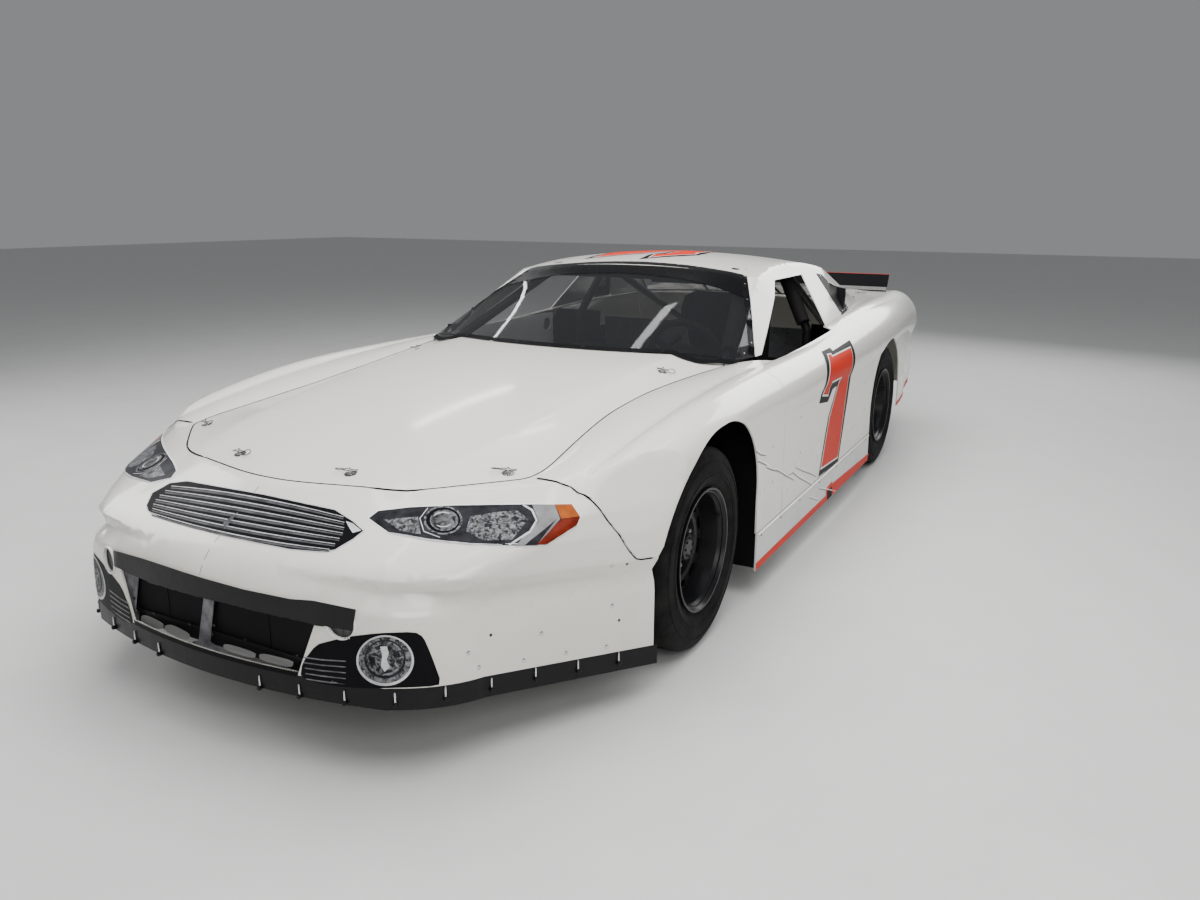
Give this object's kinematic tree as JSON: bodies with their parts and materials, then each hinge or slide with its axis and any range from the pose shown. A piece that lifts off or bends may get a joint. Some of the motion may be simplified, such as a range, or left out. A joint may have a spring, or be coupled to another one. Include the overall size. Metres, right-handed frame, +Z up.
{
  "type": "short-track late-model stock car",
  "caption": "Full-bodied oval-track racing car with hollow caged cabin, steering front wheels and freely rolling wheels",
  "frame": {"origin": "on the floor, in the middle of the overall length and width", "axes": "nose towards -Y, the left (driver) side towards +X, +Z up"},
  "size_m": [1.9884, 4.9773, 1.2044],
  "materials": {
    "body_paint": "gloss",
    "valance_black": "satin",
    "clear_pane": "gloss",
    "spoiler_smoke": "gloss",
    "chassis_black": "satin",
    "sheet_tin": "satin",
    "raw_steel": "brushed",
    "engine_iron": "matte",
    "cast_aluminium": "cast",
    "radiator_core": "finned",
    "seat_black": "satin",
    "grip_black": "suede",
    "tyre_rubber": "slick",
    "rim_black": "satin"
  },
  "bodies": {
    "chassis": {"dash_panel": "chassis_black", "deck_lid": "body_paint", "door_left": "body_paint", "door_right": "body_paint", "driveshaft": "raw_steel", "engine_block": "engine_iron", "exhaust_pipes": "raw_steel", "fender_left": "body_paint", "fender_right": "body_paint", "firewall": "sheet_tin", "floor_pan": "sheet_tin", "frame_rails": "chassis_black", "front_suspension": "chassis_black", "front_valance": "valance_black", "fuel_cell": "valance_black", "hood": "body_paint", "interior_tin": "sheet_tin", "nose_cover": "body_paint", "quarter_left": "body_paint", "quarter_right": "body_paint", "quarter_window_left": "clear_pane", "quarter_window_right": "clear_pane", "radiator": "radiator_core", "rear_axle": "chassis_black", "rear_bulkhead": "sheet_tin", "rear_suspension": "chassis_black", "rear_window": "clear_pane", "rocker_left": "body_paint", "rocker_right": "body_paint", "roll_cage": "chassis_black", "roof": "body_paint", "seat": "seat_black", "spoiler": "spoiler_smoke", "tail_cover": "body_paint", "windshield": "clear_pane"},
    "steering_wheel_body": {"steering_wheel": "grip_black"},
    "knuckle_left_body": {"knuckle_left": "raw_steel"},
    "knuckle_right_body": {"knuckle_right": "raw_steel"},
    "wheel_front_left": {"tyre_front_left": "tyre_rubber", "rim_front_left": "rim_black"},
    "wheel_front_right": {"tyre_front_right": "tyre_rubber", "rim_front_right": "rim_black"},
    "wheel_rear_left": {"tyre_rear_left": "tyre_rubber", "rim_rear_left": "rim_black"},
    "wheel_rear_right": {"tyre_rear_right": "tyre_rubber", "rim_rear_right": "rim_black"}
  },
  "joints": [
    {"name": "steer_left", "type": "hinge", "parent": "chassis", "child": "knuckle_left_body", "pos_m": [0.66, -1.308, 0.343], "axis": [0, 0, 1], "range_deg": [-24, 24]},
    {"name": "steer_right", "type": "hinge", "parent": "chassis", "child": "knuckle_right_body", "pos_m": [-0.66, -1.308, 0.343], "axis": [0, 0, 1], "range_deg": [-24, 24]},
    {"name": "steering_wheel_turn", "type": "hinge", "parent": "chassis", "child": "steering_wheel_body", "pos_m": [0.3, 0.06, 0.74], "axis": [0, 0.9511, 0.309], "range_deg": [-290, 290]},
    {"name": "wheel_front_left_spin", "type": "hinge", "parent": "knuckle_left_body", "child": "wheel_front_left", "pos_m": [0.8255, -1.308, 0.343], "axis": [1, 0, 0], "continuous": true},
    {"name": "wheel_front_right_spin", "type": "hinge", "parent": "knuckle_right_body", "child": "wheel_front_right", "pos_m": [-0.8255, -1.308, 0.343], "axis": [1, 0, 0], "continuous": true},
    {"name": "wheel_rear_left_spin", "type": "hinge", "parent": "chassis", "child": "wheel_rear_left", "pos_m": [0.8255, 1.359, 0.343], "axis": [1, 0, 0], "continuous": true},
    {"name": "wheel_rear_right_spin", "type": "hinge", "parent": "chassis", "child": "wheel_rear_right", "pos_m": [-0.8255, 1.359, 0.343], "axis": [1, 0, 0], "continuous": true}
  ],
  "couplings": [
    {"joint": "steer_right", "follows": "steer_left", "ratio": 1},
    {"joint": "steering_wheel_turn", "follows": "steer_left", "ratio": 12}
  ]
}
